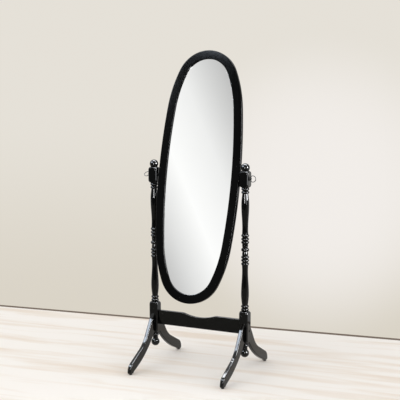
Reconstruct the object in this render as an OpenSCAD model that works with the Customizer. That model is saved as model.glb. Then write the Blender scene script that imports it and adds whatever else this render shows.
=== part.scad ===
// Free-standing dressing mirror: an oval framed glass that tilts between two turned posts.
// The origin is on the floor, midway between the posts. X runs along the stretcher,
// +Y points to the back and +Z up. The mirror stands tilted, with its top leaning back.

/* [Mirror] */
// Length of the frame along its long axis
oval_h = 1188; // [1100:1:1290]
// Width of the frame
oval_w = 420; // [400:1:440]
// Outline radius at the top and bottom ends
end_r = 158; // [150:1:168]
// Angle from the side at which the end arc meets the shoulder arc
end_angle = 24.2; // [22:0.1:27]
// Angle from the side at which the shoulder arc meets the side arc
side_angle = 6.4; // [5.8:0.1:7.2]
// Width of the frame's front face
face_w = 41.5; // [38:0.5:46]
// Thickness of the frame
frame_t = 18; // [17:0.5:24]
// Radius of the outer front edge
outer_round = 4.5; // [2:0.5:6]
// Radius of the inner front edge
inner_round = 3; // [1:0.5:4]
// Thickness of the lip in front of the glass
lip_t = 6.5; // [5:0.5:8]
// Overlap of the lip on the glass
glass_lap = 8; // [6:0.5:9]
// Thickness of the mirror glass
glass_t = 4; // [3:0.5:5]
// Thickness of the soft packing sheet behind the glass
packing_t = 3; // [2:0.5:4]
// Thickness of the backing board
board_t = 3.5; // [3:0.25:4]
// Overlap of the backing board on its ledge
board_lap = 12; // [10:0.5:13]
// Lean of the mirror from upright, top to the back
tilt = 11.5; // [-30:0.5:30]

/* [Posts] */
// Side of the square blank that each post is turned from
block_w = 44; // [40:1:48]
// Gap between the frame and each post, filled by the spacer
side_gap = 5; // [4:0.5:12]
// Height of the lower block's underside above the floor
lower_block_z = 155; // [150:1:170]
// Height of the lower block
lower_block_h = 144; // [135:1:160]
// Height of the upper block, which carries the pivot
upper_block_h = 72; // [60:1:80]
// How far the pivot lies above the middle of the upper block
pivot_rise = 3; // [0:0.5:5]
// Radius of the lathe-cut shoulders that end each block
shoulder_r = 15; // [14.5:0.1:15.5]
// Radius to which the lathe cuts the blocks' long edges
block_edge_r = 28; // [27:0.1:30]
// Radius over the beads
bead_r = 18.5; // [17.5:0.1:19.5]
// Radius at the belly of each vase turning
belly_r = 18.5; // [17.5:0.1:19.5]
// Radius at the thin neck of each vase turning
neck_r = 13.8; // [12:0.1:14.5]
// Diameter of the ball finial
ball_d = 41; // [39:0.5:43]
// Diameter of the ball drop
drop_d = 40; // [37:0.5:41]

/* [Stretcher] */
// Height of the stretcher's lower edge above the lower block's underside
stretcher_rise = 37; // [34:1:42]
// Height of the stretcher board
stretcher_h = 67.5; // [62:0.5:72]
// Thickness of the stretcher board
stretcher_t = 18; // [17:0.5:22]
// Width of the scoop in its upper edge
scoop_w = 190; // [150:1:240]
// Depth of the scoop
scoop_depth = 15; // [8:0.5:22]
// Radius that eases each end of the scoop
scoop_ease_r = 70; // [40:1:90]
// Gap between the upright mirror and the stretcher
mirror_clear = 64.5; // [40:0.5:90]

/* [Legs] */
// Thickness of each leg
leg_t = 18; // [16:0.5:22]
// Height of the leg's upper tip above its heel
leg_h = 89; // [84:1:96]
// Drop of the leg's heel below the lower block's underside
heel_drop = 0; // [0:0.5:8]
// Distance from the post's axis to the tip of the toe
leg_reach = 258; // [235:1:280]
// How far the shoulder stands out from the block
shoulder_out = 24; // [20:1:28]
// How far the shoulder lies below the leg's upper tip
shoulder_drop = 23; // [20:1:26]
// Slope of the shin below the shoulder, from level
shin_angle = 57; // [54:0.5:60]
// Slope of the instep, from level
instep_angle = 27; // [24:0.5:29]
// Height at which the instep line would meet the tip of the toe
toe_h = 41; // [37:1:45]
// Radius between shin and instep
instep_r = 150; // [110:5:160]
// Radius over the toe
toe_r = 42; // [34:1:46]
// Width of the flat sole
sole_w = 28; // [24:1:34]
// Radius that eases the leg's sawn edges
leg_ease = 4; // [2:0.5:5]
// Diameter of the foot pads
pad_d = 16; // [12:0.5:17]
// Height of the foot pads
pad_h = 5; // [3:0.5:8]

/* [Hardware] */
// Diameter of the thumbscrews and connecting bolts
screw_d = 6; // [5:0.5:6]
// Pitch of their thread
pitch = 1; // [0.8:0.1:1.25]
// Depth of thumbscrew held in the frame
thread_grip = 13; // [10:0.5:13]
// Length of the threaded inserts
insert_l = 14; // [14:0.5:16]
// Outer diameter of the threaded inserts
insert_d = 10; // [9:0.5:10]
// Diameter of the spacers between the frame and the posts
spacer_d = 17; // [14:0.5:18]
// Diameter of the washers under the thumbscrews
washer_d = 20; // [16:0.5:24]
// Thickness of the washers under the thumbscrews
washer_t = 3; // [2:0.25:4]
// Thickness of the wire of the thumbscrew's ring
wire_d = 3.2; // [2.5:0.1:4]
// Outer radius of the ring
ring_r = 16; // [14:0.5:19]
// Turn of the left ring about the screw's axis
left_ring_turn = -50; // [-90:5:90]
// Distance between the two bolts in each end of the stretcher
bolt_pitch = 36; // [32:1:38]
// Diameter of the bolt heads
bolt_head_d = 10; // [9:0.5:10.5]
// Depth to which the bolt heads are sunk
bolt_sink = 7.5; // [6.5:0.5:9]
// Diameter of the barrel nuts
barrel_d = 10; // [9:0.5:12]
// Distance of the barrel nuts from the stretcher's end
barrel_inset = 26; // [20:1:34]
// Diameter of the leg dowels
dowel_d = 8; // [6:0.5:9]
// Length of the leg dowels
dowel_l = 30; // [26:1:32]
// Diameter of the backing board's screws
board_screw_d = 3; // [2.5:0.1:3.2]
// Length of the backing board's screws
board_screw_l = 12; // [10:0.5:13]

/* [Hidden] */

// Clearances: a turning fit, a glued or pushed fit, a loose hole, the glass in its rebate, a rubbing face
run_fit = 0.05;
push_fit = 0.05;
loose_fit = 0.2;
glass_fit = 1;
rub_fit = 0.25;

wood = "#1c1c1e";
steel = "#b9bcc0";
brass = "#b08d4a";
black_plastic = "#141414";

half_w = block_w / 2;
post_x = oval_w / 2 + side_gap + half_w;
stretcher_z = lower_block_z + stretcher_rise;
stretcher_l = 2 * (post_x - half_w);
pivot_z = stretcher_z + stretcher_h + mirror_clear + oval_h / 2;
lower_block_top = lower_block_z + lower_block_h;
upper_block_z = pivot_z - pivot_rise - upper_block_h / 2;
upper_block_top = upper_block_z + upper_block_h;

// Turned profile: the shoulder's arc runs from the blocks' long edges up over their flat faces to the neck
shoulder_rc = block_edge_r - shoulder_r;
crown_drop = sqrt(shoulder_r * shoulder_r - (half_w - shoulder_rc) * (half_w - shoulder_rc));
shoulder_turn = 76;
shoulder_rise = shoulder_r * sin(shoulder_turn) - crown_drop;
bead_neck_r = 14;
small_bead = 6.5;
centre_bead = 9.5;
end_beads = [9, 24];
centre_beads = [34.5, 49.5, 66];
centre_neck = 18.5;
finial_neck_r = 15.5;
finial_sink = 4;
drop_neck_r = 13;
drop_bead_z = 17;
drop_bead = 8;
drop_ball_z = 54.5;
drop_flat_r = 6.5;
neck_share = 0.14;
belly_share = 0.72;

// Leg in its own plane: u runs outward from the block's face, v up from the floor
leg_face = half_w;
heel_z = lower_block_z - heel_drop;
leg_top = heel_z + leg_h;
toe_u = leg_reach - half_w;
sole_edge_r = 7;
heel_slope = 49;
arch_slope = 22;
pad_u = toe_u - sole_w / 2 - 1;
pad_pin_d = 3;
pad_pin_l = 14;
dowel_low = 20;
dowel_high = 62;

bolt_z = stretcher_z + stretcher_h / 2;
barrel_l = stretcher_t - 5;
bolt_head_h = 6;
bolt_past_nut = 4;
socket_af = 5;
socket_deep = 3;
collar_d = 9;
collar_l = 6;
ring_gap = 12;
ring_turn_r = 5;
ring_turn_from = 105;
ring_turn_to = 160;
screw_angles = [0, 4.2, 17.3];
board_screw_head_d = 6;
board_screw_head_h = 1.8;
board_play = 0.5;

// Arc points round [cx, cy] from angle a0 to a1, in n steps
function arc(cx, cy, r, a0, a1, n) =
    [for (i = [0:n]) let (a = a0 + (a1 - a0) * i / n) [cx + r * cos(a), cy + r * sin(a)]];

function unit(v) = v / norm(v);

// Outline through corners given as [x, y, radius], each corner with a radius turned into a tangent arc
function rounded(corners) = [
    for (i = [0:len(corners) - 1])
        let (n = len(corners),
             p = corners[i],
             at = [p[0], p[1]],
             before = corners[(i + n - 1) % n],
             after = corners[(i + 1) % n],
             u = unit([before[0], before[1]] - at),
             w = unit([after[0], after[1]] - at),
             half = acos(u * w) / 2)
        each p[2] == 0 ? [at] : corner_arc(at, u, w, half, p[2])
];

// Tangent arc in one corner, between the directions u and w to its neighbours
function corner_arc(at, u, w, half, r) =
    let (centre = at + unit(u + w) * r / sin(half),
         from = at + u * r / tan(half) - centre,
         to = at + w * r / tan(half) - centre,
         a0 = atan2(from[1], from[0]),
         turn = atan2(from[0] * to[1] - from[1] * to[0], from * to),
         steps = max(3, round(abs(turn) / 9)))
    arc(centre[0], centre[1], r, a0, a0 + turn, steps);

// The oval's outline has three tangent arcs a quarter: side, shoulder and end.
// With the end's radius and both meeting angles given, the other two radii follow.
half_h = oval_h / 2;
half_v = oval_w / 2;
det = sin(side_angle) * (cos(side_angle) - cos(end_angle))
    - (sin(end_angle) - sin(side_angle)) * (1 - cos(side_angle));
run_h = half_h - end_r * (1 - sin(end_angle));
run_v = half_v - end_r * cos(end_angle);
side_r = (run_h * (cos(side_angle) - cos(end_angle)) - run_v * (sin(end_angle) - sin(side_angle))) / det;
shoulder_arc_r = (sin(side_angle) * run_v - (1 - cos(side_angle)) * run_h) / det;
side_c = [half_v - side_r, 0];
shoulder_c = side_c + (side_r - shoulder_arc_r) * [cos(side_angle), sin(side_angle)];
end_c = [0, half_h - end_r];

// Point on the oval, moved in by inset, where the outline's normal stands at angle a of the first quarter
function oval_point(a, inset) =
    a < side_angle ? side_c + (side_r - inset) * [cos(a), sin(a)] :
    a < end_angle ? shoulder_c + (shoulder_arc_r - inset) * [cos(a), sin(a)] :
    end_c + (end_r - inset) * [cos(a), sin(a)];

// Normal angles that step round a quarter of the oval
quarter_angles = concat(
    [for (i = [0:6]) side_angle * i / 7],
    [for (i = [0:7]) side_angle + (end_angle - side_angle) * i / 8],
    [for (i = [0:11]) end_angle + (90 - end_angle) * i / 12]
);

function oval_outline(inset) =
    let (q = [for (a = quarter_angles) oval_point(a, inset)],
         n = len(q),
         top = [0, half_h - inset])
    concat(
        q,
        [top],
        [for (i = [n - 1:-1:0]) [-q[i][0], q[i][1]]],
        [for (i = [1:n - 1]) [-q[i][0], -q[i][1]]],
        [-top],
        [for (i = [n - 1:-1:1]) [q[i][0], -q[i][1]]]
    );

// Section of the frame: x is the distance in from the outer edge, y the height over the middle of its thickness
front = frame_t / 2;
glass_front = front - lip_t;
board_back = -front + board_play;
board_front = board_back + board_t;
rebate_in = face_w - glass_lap;
ledge_in = rebate_in - board_lap;
back_ease = 1;
frame_section = concat(
    [[back_ease, -front], [0, -front + back_ease]],
    arc(outer_round, front - outer_round, outer_round, 180, 90, 6),
    arc(face_w - inner_round, front - inner_round, inner_round, 90, 0, 5),
    [[face_w, glass_front], [rebate_in, glass_front], [rebate_in, board_front],
     [ledge_in, board_front], [ledge_in, -front]]
);

// The frame's section swept round the oval, as rings of points joined by flat quads
module oval_ring() {
    rings = len(frame_section);
    n = len(oval_outline(0));
    polyhedron(
        points = [for (p = frame_section) each [for (o = oval_outline(p[0])) [o[0], o[1], p[1]]]],
        faces = [for (i = [0:rings - 1]) each [for (j = [0:n - 1])
            let (i2 = (i + 1) % rings, j2 = (j + 1) % n)
            [i * n + j, i2 * n + j, i2 * n + j2, i * n + j2]
        ]],
        convexity = 6
    );
}

// Puts a piece that was drawn lying flat, front upwards, in the tilted mirror
module in_mirror() {
    translate([0, 0, pivot_z])
        rotate([90 - tilt, 0, 0])
            children();
}

// Puts a piece that points along +X on the pivot's axis, side -1 for the left and 1 for the right
module on_pivot(side) {
    translate([0, 0, pivot_z])
        mirror([side < 0 ? 1 : 0, 0, 0])
            children();
}

module x_rod(d, x0, x1) {
    translate([x0, 0, 0])
        rotate([0, 90, 0])
            cylinder(d = d, h = x1 - x0, $fn = 48);
}

module y_rod(d, y0, y1) {
    translate([0, y1, 0])
        rotate([90, 0, 0])
            cylinder(d = d, h = y1 - y0, $fn = 48);
}

// Distances in from the frame's widest point, along the pivot's axis
frame_edge = half_v;
insert_out = frame_edge - rub_fit;

module mirror_frame() {
    color(wood)
        in_mirror()
            difference() {
                oval_ring();
                for (side = [-1, 1])
                    mirror([side < 0 ? 1 : 0, 0, 0])
                        x_rod(insert_d + 2 * push_fit, insert_out - insert_l - push_fit, frame_edge + 1);
                board_screw_places()
                    translate([0, 0, board_front - push_fit])
                        cylinder(d = board_screw_d + 2 * push_fit,
                                 h = board_screw_l - board_t + 2 * push_fit, $fn = 32);
            }
}

module pivot_insert(side) {
    color(brass)
        on_pivot(side)
            difference() {
                x_rod(insert_d, insert_out - insert_l, insert_out);
                x_rod(screw_d + 2 * run_fit, insert_out - insert_l - 1, insert_out + 1);
            }
}

module mirror_plate(back, thick, inset) {
    in_mirror()
        translate([0, 0, back])
            linear_extrude(thick)
                polygon(oval_outline(inset));
}

module mirror_glass() {
    color("#e8edf0")
        mirror_plate(glass_front - glass_t, glass_t, rebate_in + glass_fit);
}

module packing_sheet() {
    color("#d9d4c8")
        mirror_plate(glass_front - glass_t - packing_t, packing_t, rebate_in + glass_fit);
}

// Places of the backing board's screws, round the middle of its ledge
module board_screw_places() {
    inset = rebate_in - board_lap / 2;
    for (m = [0, 1]) {
        mirror([0, m, 0])
            translate([0, half_h - inset, 0])
                children();
        mirror([m, 0, 0])
            for (a = screw_angles)
                for (k = a == 0 ? [0] : [0, 1])
                    mirror([0, k, 0])
                        translate(oval_point(a, inset))
                            children();
    }
}

module backing_board() {
    color("#5b4636")
        difference() {
            mirror_plate(board_back, board_t, ledge_in + board_play);
            in_mirror()
                board_screw_places()
                    translate([0, 0, board_back - 1])
                        cylinder(d = board_screw_d + 2 * push_fit, h = board_t + 2, $fn = 32);
        }
}

module board_screws() {
    color(steel)
        in_mirror()
            board_screw_places()
                translate([0, 0, board_back]) {
                    cylinder(d = board_screw_d, h = board_screw_l, $fn = 32);
                    translate([0, 0, -board_screw_head_h])
                        cylinder(d = board_screw_head_d, h = board_screw_head_h, $fn = 32);
                }
}

// Half-round bead of half height h, centred at z, as profile points from below
function bead(z, h, r) = arc(r - h, z, h, -75, 75, 7);

// Vase turning from z0 at its beads to z1 at the block: neck, then belly
function vase(z0, z1, r0) =
    let (l = z1 - z0,
         neck = z0 + l * neck_share,
         belly = z0 + l * belly_share)
    concat(
        [for (i = [0:3]) let (t = i / 4)
            [neck_r + (r0 - neck_r) * (1 - sin(90 * t)), z0 + (neck - z0) * t]],
        [for (i = [0:11]) let (t = i / 12)
            [neck_r + (belly_r - neck_r) * (1 - cos(180 * t)) / 2, neck + (belly - neck) * t]],
        [for (i = [0:8]) let (t = i / 8)
            [belly_r - (belly_r - bead_neck_r) * (1 - cos(90 * t)), belly + (z1 - belly) * t]]
    );

// Profile points taken about height z and put back in rising order
function flipped(points, z) =
    [for (i = [len(points) - 1:-1:0]) [points[i][0], 2 * z - points[i][1]]];

// Upper half of the spindle between the blocks, from its middle at z to the block at top
function half_spindle(z, top) = concat(
    arc(bead_r - centre_bead, z, centre_bead, 0, 70, 5),
    arc(bead_neck_r + 4, z + centre_neck, 4, 200, 160, 3),
    bead(z + centre_beads[0], small_bead, bead_r),
    bead(z + centre_beads[1], small_bead, bead_r),
    bead(z + centre_beads[2], small_bead, bead_r),
    vase(z + centre_beads[2] + small_bead + 1, top - end_beads[1] - small_bead - 0.5, bead_neck_r + 0.8),
    bead(top - end_beads[1], small_bead, bead_r),
    bead(top - end_beads[0], small_bead, bead_r)
);

// Lathe-cut end of a block whose flat faces crown at z; up is 1 at the top of a block and -1 at its foot
function shoulder(z, up) =
    let (points = arc(shoulder_rc, z - up * crown_drop, shoulder_r, 0, up * shoulder_turn, 6))
    up > 0 ? points : [for (i = [len(points) - 1:-1:0]) points[i]];

// Whole turning of a post from the drop to the finial
function post_profile() =
    let (middle = (lower_block_top + upper_block_z) / 2,
         upper = half_spindle(middle, upper_block_z),
         drop_z = lower_block_z - drop_ball_z,
         drop_r = drop_d / 2,
         ball_r = ball_d / 2,
         ball_z = upper_block_top - finial_sink + ball_r)
    concat(
        [[0, drop_z - sqrt(drop_r * drop_r - drop_flat_r * drop_flat_r)]],
        arc(0, drop_z, drop_r, -acos(drop_flat_r / drop_r), acos(drop_neck_r / drop_r), 12),
        bead(lower_block_z - drop_bead_z, drop_bead, bead_r - 0.3),
        [[drop_neck_r, lower_block_z - crown_drop + 8]],
        shoulder(lower_block_z, -1),
        shoulder(lower_block_top, 1),
        [for (p = flipped(upper, middle)) if (p[1] < middle) p],
        upper,
        shoulder(upper_block_z, -1),
        shoulder(upper_block_top, 1),
        [[finial_neck_r, upper_block_top + shoulder_rise + 0.2]],
        arc(0, ball_z, ball_r, -acos(finial_neck_r / ball_r), 90, 12)
    );

// Square blank that the lathe leaves flat on four sides
module blank(z0, z1) {
    translate([-half_w, -half_w, z0])
        cube([block_w, block_w, z1 - z0]);
}

// Heights of the two bolts in each end of the stretcher
bolt_heights = [bolt_z - bolt_pitch / 2, bolt_z + bolt_pitch / 2];
dowel_heights = [heel_z + dowel_low, heel_z + dowel_high];
dowel_in = dowel_l / 2;

module post(side) {
    color(wood)
        translate([side * post_x, 0, 0])
            difference() {
                intersection() {
                    rotate_extrude($fn = 96)
                        polygon(post_profile());
                    blank(lower_block_z - 100, upper_block_top + 100);
                }
                translate([0, 0, pivot_z])
                    x_rod(screw_d + 2 * loose_fit, -block_w, block_w);
                for (z = bolt_heights)
                    translate([0, 0, z])
                        mirror([side < 0 ? 1 : 0, 0, 0]) {
                            x_rod(screw_d + 2 * loose_fit, -block_w, block_w);
                            x_rod(bolt_head_d + 2, half_w - bolt_sink, block_w);
                        }
                for (z = dowel_heights)
                    for (m = [0, 1])
                        mirror([0, m, 0])
                            translate([0, 0, z])
                                y_rod(dowel_d + 2 * push_fit, half_w - dowel_in - push_fit, block_w);
            }
}

// Scoop in the stretcher's upper edge: a shallow arc run out through an easing arc at each end
scoop_turn = 2 * atan(2 * scoop_depth / scoop_w);
scoop_r = scoop_w / 2 / sin(scoop_turn) - scoop_ease_r;

module stretcher() {
    meet_x = scoop_r * sin(scoop_turn);
    meet_z = stretcher_h - scoop_ease_r * (1 - cos(scoop_turn));
    color(wood)
        difference() {
            translate([0, stretcher_t / 2, stretcher_z])
                rotate([90, 0, 0])
                    linear_extrude(stretcher_t)
                        polygon(concat(
                            [[-stretcher_l / 2, 0], [stretcher_l / 2, 0], [stretcher_l / 2, stretcher_h]],
                            arc(scoop_w / 2, stretcher_h - scoop_ease_r, scoop_ease_r, 90, 90 + scoop_turn, 5),
                            arc(0, stretcher_h - scoop_depth + scoop_r, scoop_r,
                                -90 + scoop_turn, -90 - scoop_turn, 16),
                            arc(-scoop_w / 2, stretcher_h - scoop_ease_r, scoop_ease_r,
                                90 - scoop_turn, 90, 5),
                            [[-stretcher_l / 2, stretcher_h]]
                        ));
            for (m = [0, 1])
                for (z = bolt_heights)
                    mirror([m, 0, 0])
                        translate([stretcher_l / 2, 0, z]) {
                            x_rod(screw_d + 2 * loose_fit, -barrel_inset - barrel_d, 1);
                            translate([-barrel_inset, 0, 0])
                                y_rod(barrel_d + 2 * push_fit, -barrel_l / 2 - push_fit, stretcher_t);
                        }
        }
}

module stretcher_bolts() {
    color("#2a2a2c")
        for (m = [0, 1])
            for (z = bolt_heights)
                mirror([m, 0, 0])
                    translate([post_x + half_w - bolt_sink, 0, z])
                        difference() {
                            union() {
                                x_rod(bolt_head_d, 0, bolt_head_h);
                                x_rod(screw_d, bolt_sink - block_w - barrel_inset - bolt_past_nut, 0);
                            }
                            translate([bolt_head_h - socket_deep, 0, 0])
                                rotate([0, 90, 0])
                                    cylinder(d = socket_af / cos(30), h = socket_deep + 1, $fn = 6);
                        }
}

module barrel_nuts() {
    color(brass)
        for (m = [0, 1])
            for (z = bolt_heights)
                mirror([m, 0, 0])
                    translate([stretcher_l / 2 - barrel_inset, 0, z])
                        difference() {
                            y_rod(barrel_d, -barrel_l / 2, barrel_l / 2);
                            x_rod(screw_d + 2 * run_fit, -barrel_d, barrel_d);
                        }
}

// Leg outline in the u, v plane, listed with the wood on the left
shoulder_at = [shoulder_out, leg_top - shoulder_drop];
shin_t = tan(shin_angle);
instep_t = tan(instep_angle);
instep_u = (shoulder_at[1] + shin_t * shoulder_at[0] - toe_h - instep_t * toe_u) / (shin_t - instep_t);
instep_at = [instep_u, toe_h + instep_t * (toe_u - instep_u)];
arch_end = [toe_u - sole_w - sole_edge_r, pad_h + 6];
heel_t = tan(heel_slope);
arch_t = tan(arch_slope);
arch_u = (heel_z - arch_end[1] - arch_t * arch_end[0]) / (heel_t - arch_t);
arch_at = [arch_u, heel_z - heel_t * arch_u];
arch_room = min(arch_u / cos(heel_slope), (arch_end[0] - arch_u) / cos(arch_slope));
arch_r = min(440, 0.97 * arch_room / tan((heel_slope - arch_slope) / 2));

leg_outline = rounded([
    [0, heel_z, 0],
    [arch_at[0], arch_at[1], arch_r],
    [arch_end[0], arch_end[1], 0],
    [toe_u - sole_w, pad_h, 0],
    [toe_u, pad_h, sole_edge_r],
    [toe_u, toe_h, toe_r],
    [instep_at[0], instep_at[1], instep_r],
    [shoulder_at[0], shoulder_at[1], 30],
    [0, leg_top, 0]
]);

// Outline moved in by d, except along the flat at u = 0 that is glued to the block
function moved_in(points, d) = [
    for (i = [0:len(points) - 1])
        let (n = len(points),
             a = points[(i + n - 1) % n],
             b = points[i],
             c = points[(i + 1) % n],
             ab = unit(b - a),
             bc = unit(c - b),
             n1 = [-ab[1], ab[0]],
             n2 = [-bc[1], bc[0]],
             d1 = a[0] == 0 && b[0] == 0 ? 0 : d,
             d2 = b[0] == 0 && c[0] == 0 ? 0 : d,
             k = n1[0] * n2[1] - n1[1] * n2[0])
        abs(k) < 0.001 ? b + n1 * d1 : b + [d1 * n2[1] - d2 * n1[1], n1[0] * d2 - n2[0] * d1] / k
];

// Sawn leg with eased edges: stacked outlines follow a quarter round at each side face
ease_steps = 3;
leg_layers = concat(
    [for (i = [0:ease_steps]) let (a = 90 * i / ease_steps)
        [-leg_t / 2 + leg_ease * (1 - cos(a)), leg_ease * (1 - sin(a))]],
    [for (i = [ease_steps:-1:0]) let (a = 90 * i / ease_steps)
        [leg_t / 2 - leg_ease * (1 - cos(a)), leg_ease * (1 - sin(a))]]
);

// Triangles that close a band-like outline, zipped across it from point 0 and the last point
function zipped(p, i, j) =
    j - i < 2 ? [] :
    norm(p[i + 1] - p[j]) < norm(p[j - 1] - p[i])
        ? concat([[i, i + 1, j]], zipped(p, i + 1, j))
        : concat([[i, j - 1, j]], zipped(p, i, j - 1));

module leg_blank() {
    n = len(leg_outline);
    side = zipped(leg_outline, 0, n - 1);
    last = len(leg_layers) - 1;
    points = [for (l = leg_layers) each [for (p = moved_in(leg_outline, l[1])) [l[0], p[0], p[1]]]];
    polyhedron(
        points = points,
        faces = concat(
            side,
            [for (l = [0:last - 1]) each [for (i = [0:n - 1]) let (j = (i + 1) % n)
                [l * n + i, (l + 1) * n + i, (l + 1) * n + j, l * n + j]
            ]],
            [for (t = side) [last * n + t[2], last * n + t[1], last * n + t[0]]]
        ),
        convexity = 6
    );
}

// Puts a piece drawn for the rear right leg in place; side is -1 or 1, end is -1 at the front and 1 at the rear
module at_leg(side, end) {
    mirror([0, end < 0 ? 1 : 0, 0])
        translate([side * post_x, leg_face, 0])
            children();
}

module leg(side, end) {
    color(wood)
        at_leg(side, end)
            difference() {
                leg_blank();
                for (z = dowel_heights)
                    translate([0, 0, z])
                        y_rod(dowel_d + 2 * push_fit, -1, dowel_l - dowel_in + push_fit);
                translate([0, pad_u, pad_h - 1])
                    cylinder(d = pad_pin_d + 2 * push_fit, h = pad_pin_l + 1 + push_fit, $fn = 32);
            }
}

module leg_dowels() {
    color("#c9a877")
        for (side = [-1, 1])
            for (end = [-1, 1])
                for (z = dowel_heights)
                    at_leg(side, end)
                        translate([0, 0, z])
                            y_rod(dowel_d, -dowel_in, dowel_l - dowel_in);
}

module foot_pad(side, end) {
    pad_round = 1.5;
    color(black_plastic)
        at_leg(side, end)
            translate([0, pad_u, 0]) {
                rotate_extrude($fn = 48)
                    polygon(concat(
                        [[0, 0]],
                        arc(pad_d / 2 - pad_round - 1, pad_round, pad_round, -90, 0, 4),
                        [[pad_d / 2, pad_h], [0, pad_h]]
                    ));
                cylinder(d = pad_pin_d, h = pad_h + pad_pin_l, $fn = 32);
            }
}

// Along the pivot's axis: the post's inner and outer faces, and the seat of the thumbscrew's collar
block_in = post_x - half_w;
block_out = post_x + half_w;
collar_in = block_out + washer_t;

module pivot_spacer(side) {
    color(black_plastic)
        on_pivot(side)
            difference() {
                x_rod(spacer_d, frame_edge + rub_fit, block_in);
                x_rod(screw_d + 2 * loose_fit, frame_edge, block_in + 1);
            }
}

module washer(side) {
    color(black_plastic)
        on_pivot(side)
            difference() {
                x_rod(washer_d, block_out, collar_in);
                x_rod(screw_d + 2 * run_fit, block_out - 1, collar_in + 1);
            }
}

// Wire ring in the x, z plane: a round bow that turns in and runs straight to the collar
bow_r = ring_r - wire_d / 2;
turn_c = (bow_r - ring_turn_r) * [cos(ring_turn_from), sin(ring_turn_from)];
turn_end = turn_c + ring_turn_r * [cos(ring_turn_to), sin(ring_turn_to)];
prong_l = (turn_end[1] - wire_d / 2) / cos(ring_turn_to - 180);
prong_end = turn_end + prong_l * [-sin(ring_turn_to), cos(ring_turn_to)];
ring_half = concat(
    [for (i = [0:10]) let (a = ring_turn_from * i / 10) [bow_r * cos(a), bow_r * sin(a), a]],
    [for (i = [1:5]) let (a = ring_turn_from + (ring_turn_to - ring_turn_from) * i / 5)
        [turn_c[0] + ring_turn_r * cos(a), turn_c[1] + ring_turn_r * sin(a), a]],
    [[prong_end[0], prong_end[1], ring_turn_to]]
);
// Centreline stations of the wire as [x, z, angle of the outward normal], from the lower end to the upper
ring_line = concat(
    [for (i = [len(ring_half) - 1:-1:1]) [ring_half[i][0], -ring_half[i][1], -ring_half[i][2]]],
    ring_half
);

module wire_ring() {
    n = 16;
    last = len(ring_line) - 1;
    polyhedron(
        points = [for (s = ring_line) each [for (i = [0:n - 1])
            let (r = wire_d / 2 * cos(360 * i / n), y = wire_d / 2 * sin(360 * i / n))
            [s[0] + r * cos(s[2]), y, s[1] + r * sin(s[2])]
        ]],
        faces = concat(
            [[for (i = [0:n - 1]) i]],
            [for (j = [0:last - 1]) each [for (i = [0:n - 1]) let (k = (i + 1) % n)
                [j * n + i, (j + 1) * n + i, (j + 1) * n + k, j * n + k]
            ]],
            [[for (i = [n - 1:-1:0]) last * n + i]]
        ),
        convexity = 4
    );
}

module thumbscrew(side) {
    ring_x = collar_in + ring_gap;
    color(steel)
        on_pivot(side) {
            x_rod(screw_d, frame_edge - thread_grip, collar_in + 1);
            x_rod(collar_d, collar_in, collar_in + collar_l);
            translate([ring_x, 0, 0])
                rotate([side < 0 ? left_ring_turn : 0, 0, 0])
                    wire_ring();
        }
}

post(-1);  // post_left
post(1);  // post_right
stretcher();
leg(-1, -1);  // leg_front_left
leg(1, -1);  // leg_front_right
leg(-1, 1);  // leg_rear_left
leg(1, 1);  // leg_rear_right
foot_pad(-1, -1);  // foot_pad_front_left
foot_pad(1, -1);  // foot_pad_front_right
foot_pad(-1, 1);  // foot_pad_rear_left
foot_pad(1, 1);  // foot_pad_rear_right
leg_dowels();
stretcher_bolts();
barrel_nuts();
pivot_spacer(-1);  // pivot_spacer_left
pivot_spacer(1);  // pivot_spacer_right
washer(-1);  // washer_left
washer(1);  // washer_right
thumbscrew(-1);  // thumbscrew_left
thumbscrew(1);  // thumbscrew_right
mirror_frame();
pivot_insert(-1);  // pivot_insert_left
pivot_insert(1);  // pivot_insert_right
mirror_glass();
packing_sheet();
backing_board();
board_screws();
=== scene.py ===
import math

import bpy
from mathutils import Matrix, Vector


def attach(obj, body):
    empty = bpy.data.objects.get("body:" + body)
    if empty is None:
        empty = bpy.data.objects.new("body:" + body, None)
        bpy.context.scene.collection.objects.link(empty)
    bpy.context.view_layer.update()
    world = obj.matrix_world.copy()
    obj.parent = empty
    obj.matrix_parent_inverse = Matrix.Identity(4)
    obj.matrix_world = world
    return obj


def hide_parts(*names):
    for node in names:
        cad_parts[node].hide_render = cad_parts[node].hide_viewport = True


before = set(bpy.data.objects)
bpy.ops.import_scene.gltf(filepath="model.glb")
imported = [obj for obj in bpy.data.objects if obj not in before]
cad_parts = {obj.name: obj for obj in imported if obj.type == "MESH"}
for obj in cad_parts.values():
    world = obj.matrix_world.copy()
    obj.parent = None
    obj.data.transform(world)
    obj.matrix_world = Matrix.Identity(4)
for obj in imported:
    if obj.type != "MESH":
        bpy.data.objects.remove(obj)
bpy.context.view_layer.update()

# Free-standing dressing mirror. Lengths in the dictionaries are millimetres, angles are degrees.
# X runs along the stretcher, +Y to the back, +Z up, with the origin on the floor between the posts.
mm = 0.001
alongX = Vector((1, 0, 0))
alongY = Vector((0, 1, 0))
alongZ = Vector((0, 0, 1))
level = 0.01  # points this close, in millimetres, count as being in one face


def sized(x, y, z):
    return Vector((x, y, z)) * mm


def selectNothing():
    if bpy.context.mode != "OBJECT":
        bpy.ops.object.mode_set(mode="OBJECT")
    bpy.ops.object.select_all(action="DESELECT")


def pick(piece, *others):
    selectNothing()
    for one in (piece, *others):
        one.select_set(True)
    bpy.context.view_layer.objects.active = piece


def selectAll():
    bpy.ops.mesh.select_all(action="SELECT")


def editAll(piece):
    pick(piece)
    bpy.ops.object.mode_set(mode="EDIT")
    bpy.ops.mesh.select_mode(type="VERT")
    selectAll()


def leaveEdit():
    bpy.ops.object.mode_set(mode="OBJECT")


def rename(piece, name):
    piece.name = name
    piece.data.name = name
    return piece


def settle(piece):
    pick(piece)
    bpy.ops.object.transform_apply(location=True, rotation=True, scale=True)
    return piece


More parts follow.
